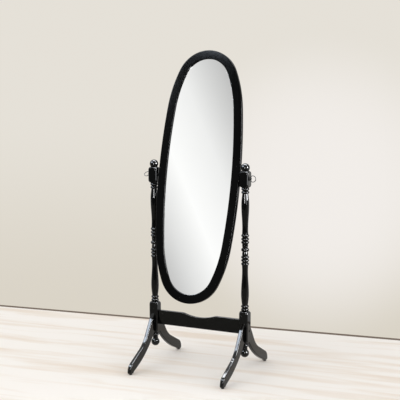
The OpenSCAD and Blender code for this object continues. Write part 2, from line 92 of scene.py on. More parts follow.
def discard(*pieces):
    for piece in pieces:
        bpy.data.objects.remove(piece, do_unlink=True)


# The pen: one vertex that is extruded and spun along an outline
pen = {"at": Vector()}
sameSpot = 0.0001 * mm    # shorter moves of the pen are left out
closingGap = 0.002 * mm   # start and end of a closed outline are merged over this
cornerStep = 4            # degrees that one step of a rounded corner turns


def penDown(name, at):
    selectNothing()
    bpy.ops.mesh.primitive_plane_add(size=mm, location=at)
    piece = settle(rename(bpy.context.object, name))
    editAll(piece)
    bpy.ops.mesh.merge(type="CENTER")
    pen["at"] = at.copy()
    return piece


def extrude(move):
    bpy.ops.mesh.extrude_region_move(TRANSFORM_OT_translate={"value": move})


def penTo(to):
    extrude(to - pen["at"])
    pen["at"] = to.copy()


def turnSelection(centre, angle, axis, steps):
    # spin counts clockwise
    bpy.ops.mesh.spin(steps=steps, angle=-math.radians(angle), center=centre, axis=axis)


def line(a, b):
    return {"end": (a, b)}


def arc(a, b, radius, start, end, steps):
    return {"centre": (a, b), "radius": radius, "start": start, "end": end, "steps": steps}


def strokeStart(stroke):
    if "radius" not in stroke:
        return stroke["end"]
    turn = math.radians(stroke["start"])
    a, b = stroke["centre"]
    return a + stroke["radius"] * math.cos(turn), b + stroke["radius"] * math.sin(turn)


# Draws lines and arcs in one plane; place turns the two numbers of a point into its spot in space
def drawStrokes(name, strokes, place, axis, closed=False):
    piece = None
    first = place(*strokeStart(strokes[0]))
    for stroke in strokes:
        start = place(*strokeStart(stroke))
        if piece is None:
            piece = penDown(name, start)
        elif (start - pen["at"]).length > sameSpot:
            penTo(start)
        if "radius" in stroke:
            centre = place(*stroke["centre"])
            angle = stroke["end"] - stroke["start"]
            turnSelection(centre, angle, axis, stroke["steps"])
            pen["at"] = centre + Matrix.Rotation(math.radians(angle), 3, axis) @ (pen["at"] - centre)
    if closed:
        penTo(first)
        selectAll()
        bpy.ops.mesh.remove_doubles(threshold=closingGap)
        selectAll()
    return piece


# Gives each corner (a, b, radius) of an outline a tangent arc
def roundCorners(corners):
    strokes = []
    for i, (a, b, radius) in enumerate(corners):
        at = Vector((a, b))
        if radius == 0:
            strokes.append(line(a, b))
            continue
        before = (Vector(corners[i - 1][:2]) - at).normalized()
        after = (Vector(corners[(i + 1) % len(corners)][:2]) - at).normalized()
        half = before.angle(after) / 2
        centre = at + (before + after).normalized() * radius / math.sin(half)
        start = at + before * radius / math.tan(half) - centre
        end = at + after * radius / math.tan(half) - centre
        startAngle = math.degrees(math.atan2(start.y, start.x))
        turn = math.degrees(math.atan2(start.x * end.y - start.y * end.x, start.dot(end)))
        steps = max(3, round(abs(turn) / cornerStep))
        strokes.append(arc(centre.x, centre.y, radius, startAngle, startAngle + turn, steps))
    return strokes


def mendMesh(piece, gap=0.01):
    editAll(piece)
    bpy.ops.mesh.remove_doubles(threshold=gap * mm)
    bpy.ops.mesh.normals_make_consistent(inside=False)
    leaveEdit()
    return piece


# Spins an open or closed profile all the way round an axis
def lathe(piece, centre, axis, steps):
    selectAll()
    turnSelection(centre, 360, axis, steps)
    return mendMesh(piece)


# Turns a profile of radius and height round an upright axis
def turnUpright(name, strokes, x, y, steps, closed=False):
    piece = drawStrokes(name, strokes, lambda r, z: sized(x + r, y, z), -alongY, closed)
    return lathe(piece, sized(x, y, 0), alongZ, steps)


def overX(z=0.0):
    return lambda x, r: sized(x, 0, z + r)


# Turns a profile of length and radius round an axis along X at height z
def turnAlongX(name, strokes, z, steps, closed=False):
    piece = drawStrokes(name, strokes, overX(z), -alongY, closed)
    return lathe(piece, sized(0, 0, z), alongX, steps)


# Draws the outline of a board and gives it its thickness
def sawBoard(name, strokes, place, axis, thickness):
    piece = drawStrokes(name, strokes, place, axis, closed=True)
    bpy.ops.mesh.edge_face_add()
    extrude(thickness)
    return mendMesh(piece)


def rod(diameter, start, end, sides=48):
    selectNothing()
    run = end - start
    bpy.ops.mesh.primitive_cylinder_add(vertices=sides, radius=diameter / 2 * mm, depth=run.length,
                                        location=(start + end) / 2,
                                        rotation=run.to_track_quat("Z", "Y").to_euler())
    return settle(bpy.context.object)


def block(low, high):
    selectNothing()
    bpy.ops.mesh.primitive_cube_add(size=1, location=(low + high) / 2)
    piece = bpy.context.object
    piece.scale = high - low
    return settle(piece)


def joined(pieces):
    pick(*pieces)
    if len(pieces) > 1:
        bpy.ops.object.join()
    return bpy.context.object


def useModifier(piece, kind, **settings):
    pick(piece)
    modifier = piece.modifiers.new(kind.lower(), kind)
    for key, value in settings.items():
        setattr(modifier, key, value)
    bpy.ops.object.modifier_apply(modifier=modifier.name)


def carve(piece, cutter, operation="DIFFERENCE"):
    useModifier(piece, "BOOLEAN", operation=operation, solver="EXACT", object=cutter)
    discard(cutter)
    return piece


def selectEdges(piece, test):
    editAll(piece)
    bpy.ops.mesh.select_mode(type="EDGE")
    bpy.ops.mesh.select_all(action="DESELECT")
    leaveEdit()
    points = piece.data.vertices
    for edge in piece.data.edges:
        edge.select = test(*(points[i].co / mm for i in edge.vertices))
    bpy.ops.object.mode_set(mode="EDIT")


def roundEdges(piece, test, width, segments):
    selectEdges(piece, test)
    bpy.ops.mesh.bevel(offset=width * mm, segments=segments, affect="EDGES", clamp_overlap=False)
    leaveEdit()
    return piece


# Copies a piece with its own mesh, moved by a vector or mirrored through the middle plane across an axis
def copyOf(piece, name, move=None, across=None):
    pick(piece)
    bpy.ops.object.duplicate(linked=False)
    twin = rename(bpy.context.object, name)
    if move is not None:
        twin.location = move
    if across is not None:
        twin.scale["XYZ".index(across)] = -1
    settle(twin)
    return mendMesh(twin, gap=0.001) if across is not None else twin


def turned(piece, angle, axis, centre):
    piece.matrix_world = (Matrix.Translation(centre) @ Matrix.Rotation(math.radians(angle), 4, axis)
                          @ Matrix.Translation(-centre))
    return settle(piece)


def smooth(piece, angle=30):
    pick(piece)
    bpy.ops.object.shade_smooth_by_angle(angle=math.radians(angle))
    useModifier(piece, "WEIGHTED_NORMAL", keep_sharp=True, weight=60)
    return piece


def handOver(piece, body, slot, finish, *nodes):
    piece.data.materials.clear()
    piece.data.materials.append(finish)
    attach(piece, body)
    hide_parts(*nodes)


# Finishes

def newFinish(name):
    finish = bpy.data.materials.new(name)
    finish.use_nodes = True
    tree = finish.node_tree
    return finish, tree, tree.nodes["Principled BSDF"]


# Gives each named input a plain value, or a link where the value comes from another node
def fill(tree, node, inputs):
    for key, value in inputs.items():
        if isinstance(value, bpy.types.NodeSocket):
            tree.links.new(value, node.inputs[key])
        else:
            node.inputs[key].default_value = value


def addNode(tree, kind, inputs=None, **settings):
    node = tree.nodes.new(kind)
    for key, value in settings.items():
        setattr(node, key, value)
    fill(tree, node, inputs or {})
    return node


def objectCoordinates(tree, scale=(1, 1, 1), rotation=(0, 0, 0)):
    source = addNode(tree, "ShaderNodeTexCoord").outputs["Object"]
    turn = [math.radians(angle) for angle in rotation]
    turnedSource = addNode(tree, "ShaderNodeMapping", {"Vector": source, "Rotation": turn}).outputs["Vector"]
    return addNode(tree, "ShaderNodeMapping", {"Vector": turnedSource, "Scale": scale}).outputs["Vector"]


def noise(tree, coordinates, scale, detail=3.0, roughness=0.55, distortion=0.0):
    inputs = {"Vector": coordinates, "Scale": scale, "Detail": detail, "Roughness": roughness,
              "Distortion": distortion}
    return addNode(tree, "ShaderNodeTexNoise", inputs).outputs["Fac"]


# Spreads a noise, which mostly stays between 0.3 and 0.7, over low to high
def between(tree, value, low, high):
    inputs = {"Value": value, "From Min": 0.3, "From Max": 0.7, "To Min": low, "To Max": high}
    return addNode(tree, "ShaderNodeMapRange", inputs).outputs["Result"]


def colours(tree, value, stops):
    ramp = addNode(tree, "ShaderNodeValToRGB", {"Fac": value})
    band = ramp.color_ramp
    while len(band.elements) < len(stops):
        band.elements.new(0.5)
    for element, (place, colour) in zip(band.elements, stops):
        element.position = place
        element.color = (*colour, 1)
    return ramp.outputs["Color"]


def maths(tree, operation, *values):
    return addNode(tree, "ShaderNodeMath", dict(enumerate(values)), operation=operation).outputs["Value"]


def fade(tree, value, start, end, low=0.0, high=1.0):
    inputs = {"Value": value, "From Min": start, "From Max": end, "To Min": low, "To Max": high}
    return addNode(tree, "ShaderNodeMapRange", inputs, interpolation_type="SMOOTHSTEP").outputs["Result"]


def mixed(tree, factor, first, second):
    inputs = {"Factor": factor, 6: first, 7: second}  # 6 and 7 are the two colours
    return addNode(tree, "ShaderNodeMix", inputs, data_type="RGBA").outputs[2]


def asColour(tone):
    return (*tone, 1)


def bumps(tree, heights):
    normal = None
    for height, strength, distance in heights:
        inputs = {"Height": height, "Strength": strength, "Distance": distance * mm}
        if normal is not None:
            inputs["Normal"] = normal
        normal = addNode(tree, "ShaderNodeBump", inputs).outputs["Normal"]
    return normal


# Sprayed black over sanded wood: fine orange peel, and the grain showing faintly through along one direction
def blackPaint(name, stretch, rotation, values):
    finish, tree, shader = newFinish(name)
    plain = objectCoordinates(tree)
    grainWay = objectCoordinates(tree, stretch, rotation)
    grain = noise(tree, grainWay, 420, 5.0, 0.62, 0.3)
    pores = noise(tree, grainWay, 1500, 2.0, 0.5)
    peel = noise(tree, plain, 900, 2.0, 0.5)
    clouds = noise(tree, plain, 9, 3.0, 0.5)
    fill(tree, shader, {
        "Base Color": colours(tree, clouds, [(0.3, values["deep"]), (0.72, values["lift"])]),
        "Roughness": between(tree, noise(tree, plain, 60, 4.0, 0.6), *values["roughness"]),
        "Specular IOR Level": values["specular"],
        "Normal": bumps(tree, [(peel, values["peel"], 0.02), (grain, values["grain"], 0.03),
                               (pores, values["grain"], 0.015)]),
    })
    return finish


paintLook = {
    "turnedPaint": {"deep": (0.0018, 0.0020, 0.0020), "lift": (0.0028, 0.0030, 0.0029),
                    "roughness": (0.04, 0.06), "specular": 0.22, "peel": 0.03, "grain": 0.03},
    "sawnPaint": {"deep": (0.0022, 0.0023, 0.0021), "lift": (0.0036, 0.0036, 0.0032),
                  "roughness": (0.07, 0.12), "specular": 0.20, "peel": 0.05, "grain": 0.08},
    "framePaint": {"deep": (0.0014, 0.0015, 0.0015), "lift": (0.0022, 0.0024, 0.0025),
                   "roughness": (0.09, 0.13), "specular": 0.045, "peel": 0.03, "grain": 0.04},
}


def metal(name, colour, darker, roughness, brushed, scratch):
    finish, tree, shader = newFinish(name)
    plain = objectCoordinates(tree)
    drawn = objectCoordinates(tree, brushed)
    stains = noise(tree, plain, 140, 4.0, 0.6)
    marks = noise(tree, drawn, 1800, 3.0, 0.6)
    fill(tree, shader, {
        "Base Color": colours(tree, stains, [(0.32, darker), (0.62, colour)]),
        "Roughness": between(tree, marks, *roughness),
        "Metallic": 1.0,
        "Normal": bumps(tree, [(marks, scratch, 0.01)]),
    })
    return finish


def plastic(name, colour, lighter, roughness, grainSize, strength, specular=0.4):
    finish, tree, shader = newFinish(name)
    plain = objectCoordinates(tree)
    grain = noise(tree, plain, grainSize, 2.0, 0.5)
    patches = noise(tree, plain, 220, 3.0, 0.5)
    fill(tree, shader, {
        "Base Color": colours(tree, patches, [(0.35, colour), (0.7, lighter)]),
        "Roughness": between(tree, grain, *roughness),
        "Specular IOR Level": specular,
        "Normal": bumps(tree, [(grain, strength, 0.03)]),
    })
    return finish


def silveredGlass():
    finish, tree, shader = newFinish("silveredGlass")
    haze = noise(tree, objectCoordinates(tree), 5, 4.0, 0.6)
    fill(tree, shader, {
        "Base Color": colours(tree, haze, [(0.3, (0.930, 0.938, 0.932)), (0.7, (0.945, 0.950, 0.944))]),
        "Roughness": between(tree, haze, 0.0, 0.012),
        "Metallic": 1.0,
    })
    return finish


def bareBeech():
    finish, tree, shader = newFinish("bareBeech")
    rings = noise(tree, objectCoordinates(tree, (1, 0.12, 1)), 260, 5.0, 0.6, 0.4)
    flecks = noise(tree, objectCoordinates(tree, (1, 0.2, 1)), 1400, 2.0, 0.5)
    fill(tree, shader, {
        "Base Color": colours(tree, rings, [(0.3, (0.47, 0.31, 0.17)), (0.55, (0.62, 0.45, 0.27)),
                                            (0.8, (0.70, 0.53, 0.34))]),
        "Roughness": between(tree, flecks, 0.5, 0.68),
        "Normal": bumps(tree, [(flecks, 0.25, 0.05)]),
    })
    return finish


# Hardboard: pressed brown fibres with the fine mesh print of the press screen on its back
def pressedBoard():
    finish, tree, shader = newFinish("pressedBoard")
    plain = objectCoordinates(tree, (1, 1, 1), (11.5, 0, 0))
    fibres = noise(tree, plain, 700, 6.0, 0.7, 0.6)
    clouds = noise(tree, plain, 14, 3.0, 0.5)
    half = maths(tree, "MULTIPLY", maths(tree, "ADD", fibres, clouds), 0.5)
    wires = {"Vector": plain, "Scale": 95.0, "Distortion": 0.4, "Detail": 1.0}
    across, upward = (addNode(tree, "ShaderNodeTexWave", wires, wave_type="BANDS", bands_direction=way)
                      for way in "XZ")
    screen = maths(tree, "MULTIPLY", across.outputs["Fac"], upward.outputs["Fac"])
    fill(tree, shader, {
        "Base Color": colours(tree, half, [(0.34, (0.175, 0.104, 0.058)), (0.5, (0.215, 0.130, 0.075)),
                                           (0.66, (0.255, 0.160, 0.095))]),
        "Roughness": between(tree, fibres, 0.55, 0.8),
        "Specular IOR Level": 0.3,
        "Normal": bumps(tree, [(screen, 0.35, 0.12), (fibres, 0.3, 0.06)]),
    })
    return finish


def packingFelt():
    finish, tree, shader = newFinish("packingFelt")
    plain = objectCoordinates(tree)
    hairs = noise(tree, plain, 1100, 6.0, 0.75, 1.2)
    fill(tree, shader, {
        "Base Color": colours(tree, hairs, [(0.3, (0.58, 0.55, 0.49)), (0.7, (0.78, 0.75, 0.69))]),
        "Roughness": between(tree, hairs, 0.8, 0.97),
        "Sheen Weight": 0.2,
        "Normal": bumps(tree, [(hairs, 0.5, 0.15)]),
    })
    return finish


uprightPaint = blackPaint("blackPaintUprightGrain", (1, 1, 0.05), (0, 0, 0), paintLook["turnedPaint"])
levelPaint = blackPaint("blackPaintLevelGrain", (0.05, 1, 1), (0, 0, 0), paintLook["sawnPaint"])
frontLegPaint = blackPaint("blackPaintFrontLegGrain", (1, 1, 0.05), (48, 0, 0), paintLook["sawnPaint"])
rearLegPaint = blackPaint("blackPaintRearLegGrain", (1, 1, 0.05), (-48, 0, 0), paintLook["sawnPaint"])
ringPaint = blackPaint("blackPaintOvalFrame", (1, 1, 0.08), (11.5, 0, 0), paintLook["framePaint"])
padPlastic = plastic("padPlastic", (0.018, 0.018, 0.018), (0.028, 0.027, 0.026), (0.5, 0.68), 1600, 0.35)
washerPlastic = plastic("washerPlastic", (0.007, 0.007, 0.007), (0.011, 0.011, 0.011), (0.50, 0.64),
                        2200, 0.25, specular=0.1)
brightMetal = metal("platedWire", (0.04, 0.04, 0.04), (0.028, 0.028, 0.028), (0.44, 0.54), (0.2, 1, 1), 0.04)
blackMetal = metal("blackenedSteel", (0.035, 0.035, 0.037), (0.022, 0.022, 0.024), (0.32, 0.46),
                   (1, 1, 1), 0.10)
brassMetal = metal("turnedBrass", (0.74, 0.55, 0.27), (0.60, 0.42, 0.19), (0.22, 0.36), (1, 1, 0.2), 0.08)
steelMetal = metal("zincedSteel", (0.66, 0.66, 0.67), (0.52, 0.53, 0.56), (0.24, 0.38), (1, 1, 1), 0.08)
print("finishes mixed")


# Turned posts

post = {
    "x": 237, "side": 44, "edge": 28,           # square blank, and the radius of its turned-off edges
    "lowerBlock": (155, 299), "upperBlock": (879, 951),
    "shoulder": 15, "shoulderIn": 13, "crown": 12, "shoulderTurn": 76,
    "bead": 18.5, "smallBead": 6.5, "middleBead": 9.5,
    "middleBeads": (34.5, 49.5, 66), "endBeads": (24, 9), "cove": 4, "coveUp": 18.5,
    "neck": 13.8, "belly": 18.5, "beadNeck": 14,
    "neckShare": 0.14, "bellyShare": 0.72,
    "ball": 20.5, "ballNeck": 15.5, "ballSink": 4,
    "drop": 20, "dropNeck": 13, "dropFlat": 6.5, "dropBelow": 54.5,
    "dropBead": 8, "dropBeadBelow": 17, "dropBeadIn": 0.3,
    "pivot": 918, "boltHeights": (207.75, 243.75), "dowelHeights": (175, 217),
    "bore": 6.4, "counterbore": 12, "sink": 7.5, "dowelBore": 8.1, "dowelDeep": 15.05,
    "arris": 0.45,
}


def beadAt(z, half, over):
    return arc(over - half, z, half, -75, 75, 10)


def vase(z0, z1):
    neckZ = z0 + (z1 - z0) * post["neckShare"]
    bellyZ = z0 + (z1 - z0) * post["bellyShare"]
    start, neck, belly, end = post["beadNeck"] + 0.8, post["neck"], post["belly"], post["beadNeck"]
    points = []
    for i in range(6):
        t = i / 6
        points.append((neck + (start - neck) * (1 - math.sin(t * math.pi / 2)), z0 + (neckZ - z0) * t))
    for i in range(20):
        t = i / 20
        points.append((neck + (belly - neck) * (1 - math.cos(t * math.pi)) / 2, neckZ + (bellyZ - neckZ) * t))
    for i in range(13):
        t = i / 12
        points.append((belly - (belly - end) * (1 - math.cos(t * math.pi / 2)), bellyZ + (z1 - bellyZ) * t))
    return [line(*point) for point in points]


def halfSpindle(middle, top):
    over, small = post["bead"], post["smallBead"]
    strokes = [arc(over - post["middleBead"], middle, post["middleBead"], 0, 70, 8),
               arc(post["beadNeck"] + post["cove"], middle + post["coveUp"], post["cove"], 200, 160, 5)]
    strokes += [beadAt(middle + rise, small, over) for rise in post["middleBeads"]]
    strokes += vase(middle + post["middleBeads"][2] + small + 1, top - post["endBeads"][0] - small - 0.5)
    strokes += [beadAt(top - fall, small, over) for fall in post["endBeads"]]
    return strokes


def upsideDown(strokes, z):
    flipped = []
    for stroke in reversed(strokes):
        if "radius" in stroke:
            a, b = stroke["centre"]
            flipped.append(arc(a, 2 * z - b, stroke["radius"], -stroke["end"], -stroke["start"],
                               stroke["steps"]))
        else:
            flipped.append(line(stroke["end"][0], 2 * z - stroke["end"][1]))
    return flipped


def shoulderAt(z, up):
    start, end = (0, post["shoulderTurn"]) if up > 0 else (-post["shoulderTurn"], 0)
    return arc(post["shoulderIn"], z - up * post["crown"], post["shoulder"], start, end, 10)


def turnPost():
    low, lowTop = post["lowerBlock"]
    high, highTop = post["upperBlock"]
    middle = (lowTop + high) / 2
    dropZ = low - post["dropBelow"]
    ballZ = highTop - post["ballSink"] + post["ball"]
    dropStart = math.degrees(math.acos(post["dropFlat"] / post["drop"]))
    dropEnd = math.degrees(math.acos(post["dropNeck"] / post["drop"]))
    ballStart = math.degrees(math.acos(post["ballNeck"] / post["ball"]))
    spindle = halfSpindle(middle, high)
    rise = post["shoulder"] * math.sin(math.radians(post["shoulderTurn"])) - post["crown"]
    strokes = [line(0, dropZ - math.sqrt(post["drop"] ** 2 - post["dropFlat"] ** 2)),
               arc(0, dropZ, post["drop"], -dropStart, dropEnd, 18),
               beadAt(low - post["dropBeadBelow"], post["dropBead"], post["bead"] - post["dropBeadIn"]),
               line(post["dropNeck"], low - post["crown"] + 8),
               shoulderAt(low, -1), shoulderAt(lowTop, 1),
               *upsideDown(spindle, middle), *spindle,
               shoulderAt(high, -1), shoulderAt(highTop, 1),
               line(post["ballNeck"], highTop + rise + 0.2),
               arc(0, ballZ, post["ball"], -ballStart, 90, 20)]
    piece = turnUpright("postRight", strokes, 0, 0, 96)

    half, ends = post["side"] / 2, 100
    blank = block(sized(-half, -half, low - ends), sized(half, half, highTop + ends))
    carve(piece, blank, "INTERSECT")

    past = half + 8
    bores = [rod(post["bore"], sized(-past, 0, z), sized(past, 0, z))
             for z in (post["pivot"], *post["boltHeights"])]
    for z in post["dowelHeights"]:
        for way in (-1, 1):
            bottom = sized(0, way * (half - post["dowelDeep"]), z)
            bores.append(rod(post["dowelBore"], bottom, sized(0, way * past, z)))
    carve(piece, joined(bores))
    carve(piece, joined([rod(post["counterbore"], sized(half - post["sink"], 0, z), sized(past, 0, z))
                         for z in post["boltHeights"]]))

    def onFlat(p):
        return abs(abs(p.x) - half) < level or abs(abs(p.y) - half) < level

    def boreEdge(a, b):
        sideR, frontR = post["counterbore"] / 2 + 1, post["dowelBore"] / 2 + 1
        sideHeights = (post["pivot"], *post["boltHeights"])
        onSide = [math.hypot(p.y, p.z - z) < sideR for p in (a, b) for z in sideHeights]
        inFront = [math.hypot(p.x, p.z - z) < frontR for p in (a, b) for z in post["dowelHeights"]]
        return any(onSide) or any(inFront)

    # the turned-off arrises are long edges far out, and the crowns' outlines are short steps
    def faceEdge(a, b):
        arris = min(math.hypot(a.x, a.y), math.hypot(b.x, b.y)) > post["edge"] - 0.1
        return onFlat(a) and onFlat(b) and (arris or (a - b).length < 8) and not boreEdge(a, b)

    roundEdges(piece, faceEdge, post["arris"], segments=2)
    mendMesh(piece, gap=0.002)
    piece.location = sized(post["x"], 0, 0)
    return settle(piece)


postRight = turnPost()
postLeft = copyOf(postRight, "postLeft", across="X")
for piece, node in ((postRight, "post_right"), (postLeft, "post_left")):
    handOver(smooth(piece), "stand", "black_wood", uprightPaint, node)
print("posts turned")


# Stretcher board with its scoop

stretcher = {
    "half": 215, "low": 192, "high": 259.5, "thick": 18, "arris": 1.4,
    "scoopHalf": 95, "scoopDeep": 15, "scoopEase": 70,
    "bore": 6.4, "boreDeep": 36, "nutIn": 26, "nutBore": 10.1, "nutDeep": 6.55,
}


def sawStretcher():
    s = stretcher
    turn = math.degrees(2 * math.atan(s["scoopDeep"] / s["scoopHalf"]))
    scoop = s["scoopHalf"] / math.sin(math.radians(turn)) - s["scoopEase"]
    strokes = [line(-s["half"], s["low"]), line(s["half"], s["low"]), line(s["half"], s["high"]),
               arc(s["scoopHalf"], s["high"] - s["scoopEase"], s["scoopEase"], 90, 90 + turn, 8),
               arc(0, s["high"] - s["scoopDeep"] + scoop, scoop, turn - 90, -turn - 90, 24),
               arc(-s["scoopHalf"], s["high"] - s["scoopEase"], s["scoopEase"], 90 - turn, 90, 8),
               line(-s["half"], s["high"])]
    face = s["thick"] / 2
    piece = sawBoard("stretcherBoard", strokes, lambda x, z: sized(x, -face, z), -alongY,
                     sized(0, s["thick"], 0))

    def openEdge(a, b):
        againstPost = min(abs(a.x), abs(b.x)) > s["half"] - 0.1 and a.x * b.x > 0
        return abs(a.y - b.y) < level and not againstPost

    roundEdges(piece, openEdge, s["arris"], segments=3)
    along, across = [], []
    for way in (-1, 1):
        for z in post["boltHeights"]:
            bottom, mouth = way * (s["half"] - s["boreDeep"]), way * (s["half"] + 1)
            along.append(rod(s["bore"], sized(bottom, 0, z), sized(mouth, 0, z)))
            at = way * (s["half"] - s["nutIn"])
            across.append(rod(s["nutBore"], sized(at, -s["nutDeep"], z), sized(at, face + 3, z)))
    carve(piece, joined(along))
    carve(piece, joined(across))
    return piece


handOver(smooth(sawStretcher()), "stand", "black_wood", levelPaint, "stretcher")
print("stretcher sawn")


# Legs, drawn as the rear right one: distance out from the block's face, and height

leg = {
    "face": 22, "thick": 18, "ease": 4,
    # each corner: distance out, height and rounding
    "corners": {
        "heel": (0, 155, 0), "arch": (84.1313, 58.218, 440), "archEnd": (201, 11, 0), "sole": (208, 5, 0),
        "toeEdge": (236, 5, 7), "toe": (236, 41, 42), "instep": (93.8617, 113.4234, 150),
        "shoulder": (24, 221, 30), "tip": (0, 244, 0),
    },
    "padOut": 221, "nailBore": 3.1, "nailDeep": 19.05,
}


def sawLeg():
    near = post["x"] - leg["thick"] / 2
    corners = [(out + leg["face"], up, radius) for out, up, radius in leg["corners"].values()]
    piece = sawBoard("legRearRight", roundCorners(corners), lambda u, v: sized(near, u, v), alongX,
                     sized(leg["thick"], 0, 0))

    def openEdge(a, b):
        return abs(a.x - b.x) < level and max(a.y, b.y) >= leg["face"] + level

    roundEdges(piece, openEdge, leg["ease"], segments=5)
    bottom = leg["face"] + post["dowelDeep"]
    bores = [rod(post["dowelBore"], sized(post["x"], leg["face"] - 12, z), sized(post["x"], bottom, z))
             for z in post["dowelHeights"]]
    pad = leg["face"] + leg["padOut"]
    bores.append(rod(leg["nailBore"], sized(post["x"], pad, 0), sized(post["x"], pad, leg["nailDeep"]),
                     sides=32))
    return carve(piece, joined(bores))


legRearRight = sawLeg()
toLeft = sized(-2 * post["x"], 0, 0)
legs = {
    "leg_rear_right": legRearRight,
    "leg_rear_left": copyOf(legRearRight, "legRearLeft", move=toLeft),
    "leg_front_right": copyOf(legRearRight, "legFrontRight", across="Y"),
}
legs["leg_front_left"] = copyOf(legs["leg_front_right"], "legFrontLeft", move=toLeft)
for node, piece in legs.items():
    paint = frontLegPaint if "front" in node else rearLegPaint
    handOver(smooth(piece, 35), "stand", "black_wood", paint, node)
print("legs sawn")


# Foot pads, each with its nail

pad = {"wide": 16, "narrow": 14, "high": 5, "round": 1.5, "recess": 3.3, "recessDeep": 1.6,
       "nail": 3, "head": 3, "headHigh": 0.9, "nailTop": 19}


def mouldPad(x, y):
    strokes = [line(pad["nail"] / 2 + 0.05, pad["recessDeep"]), line(pad["recess"], pad["recessDeep"]),
               arc(pad["recess"] + 0.4, 0.4, 0.4, 180, 270, 3),
               arc(pad["narrow"] / 2 - pad["round"], pad["round"], pad["round"], -90, -8, 6),
               arc(pad["wide"] / 2 - 0.5, pad["high"] - 0.5, 0.5, -8, 90, 4),
               line(pad["nail"] / 2 + 0.05, pad["high"])]
    return turnUpright("footPad", strokes, x, y, 48, closed=True)


def forgeNail(x, y):
    seat, shank = pad["recessDeep"], pad["nail"] / 2
    strokes = [line(0, seat - pad["headHigh"]), line(1.6, seat - pad["headHigh"] + 0.1),
               arc(pad["head"] - 0.35, seat - 0.35, 0.35, -60, 90, 4),
               line(shank, seat), line(shank, pad["nailTop"] - 4), line(0, pad["nailTop"])]
    return turnUpright("padNail", strokes, x, y, 32)


padX, padY = post["x"], leg["face"] + leg["padOut"]
firstPad, firstNail = mouldPad(padX, padY), forgeNail(padX, padY)
for end, way in (("Rear", 1), ("Front", -1)):
    for side, shift in (("Right", 0), ("Left", -2 * padX)):
        move = sized(shift, 0 if way > 0 else -2 * padY, 0)
        node = "foot_pad_" + end.lower() + "_" + side.lower()
        nail = copyOf(firstNail, "padNail" + end + side, move=move)
        foot = copyOf(firstPad, "footPad" + end + side, move=move)
        handOver(smooth(foot), "stand", "pad_plastic", padPlastic, node)
        handOver(smooth(nail), "stand", "steel", steelMetal, node)
discard(firstPad, firstNail)
print("foot pads nailed on")


# Bolts with their threads

pitch = 1.0


# Helical ridge over a rod along X: one tooth, swept by the screw modifier
def threadRidge(start, turns, core, crest, z):
    strokes = [line(start, core), line(start + 0.42, crest), line(start + 0.5, crest),
               line(start + 0.92, core)]
    piece = drawStrokes("thread", strokes, overX(), alongX, closed=True)
    leaveEdit()
    useModifier(piece, "SCREW", axis="X", angle=math.tau, screw_offset=pitch * mm, iterations=turns, steps=24,
                render_steps=24, use_merge_vertices=False)
    editAll(piece)
    bpy.ops.mesh.fill_holes(sides=0)
    mendMesh(piece, gap=0.0005)
    piece.location = sized(0, 0, z)
    return settle(piece)


bolt = {"seat": 251.5, "head": 10, "headLong": 6, "shank": 6, "tip": 185, "socket": 5, "socketDeep": 3,
        "threads": 14}


def forgeBolt(z):
    tip, seat, end = bolt["tip"], bolt["seat"], bolt["seat"] + bolt["headLong"]
    headR, shankR, core = bolt["head"] / 2, bolt["shank"] / 2, bolt["shank"] / 2 - 0.45
    runOut = tip + bolt["threads"] + 1
    strokes = [line(tip, 0), line(tip, shankR - 0.8), line(tip + 0.4, core), line(runOut, core),
               line(runOut + 0.5, shankR), line(seat, shankR), line(seat, headR - 0.2),
               line(seat + 0.2, headR), arc(end - 0.7, headR - 0.7, 0.7, 90, 0, 4), line(end, 0)]
    piece = turnAlongX("bolt", strokes, z, 48)
    overCorners = bolt["socket"] / math.cos(math.pi / 6)
    carve(piece, rod(overCorners, sized(end - bolt["socketDeep"], 0, z), sized(end + 1, 0, z), sides=6))
    thread = threadRidge(tip + 0.6, bolt["threads"], shankR - 0.5, shankR, z)
    return joined([piece, thread])


firstBolt = forgeBolt(post["boltHeights"][0])
rise = post["boltHeights"][1] - post["boltHeights"][0]
bolts = [copyOf(firstBolt, "boltLowerRight"), copyOf(firstBolt, "boltUpperRight", move=sized(0, 0, rise)),
         copyOf(firstBolt, "boltLowerLeft", across="X")]
bolts.append(copyOf(bolts[2], "boltUpperLeft", move=sized(0, 0, rise)))
discard(firstBolt)
for piece in bolts:
    handOver(smooth(piece), "stand", "black_metal", blackMetal, "stretcher_bolts")
print("bolts forged")


nut = {"x": 189, "wide": 10, "long": 13, "bore": 6.1, "slotWide": 1.4, "slotDeep": 1.6, "chamfer": 0.5}


def turnNut(z):
    half, radius, cut = nut["long"] / 2, nut["wide"] / 2, nut["chamfer"]
    strokes = [line(0, -half), line(radius - cut, -half), line(radius, cut - half), line(radius, half - cut),
               line(radius - cut, half), line(0, half)]
    piece = drawStrokes("nut", strokes, lambda r, y: sized(nut["x"] + r, y, z), alongZ)
    lathe(piece, sized(nut["x"], 0, z), alongY, 48)
    carve(piece, rod(nut["bore"], sized(nut["x"] - 10, 0, z), sized(nut["x"] + 10, 0, z)))
    low = sized(nut["x"] - 8, half - nut["slotDeep"], z - nut["slotWide"] / 2)
    return carve(piece, block(low, sized(nut["x"] + 8, half + 1, z + nut["slotWide"] / 2)))


firstNut = turnNut(post["boltHeights"][0])
for side, shift in (("Right", 0), ("Left", -2 * nut["x"])):
    for row, lift in (("Lower", 0), ("Upper", rise)):
        piece = copyOf(firstNut, "barrelNut" + row + side, move=sized(shift, 0, lift))
        handOver(smooth(piece), "stand", "brass", brassMetal, "barrel_nuts")
discard(firstNut)
print("barrel nuts turned")


# Spacers between frame and posts, washers outside the posts

spacer = {"inner": 210.25, "outer": 215, "wide": 17, "bore": 6.4, "round": 0.8}
washer = {"inner": 259, "outer": 262, "wide": 20, "bore": 6.1, "rim": 1.1, "seat": 6}


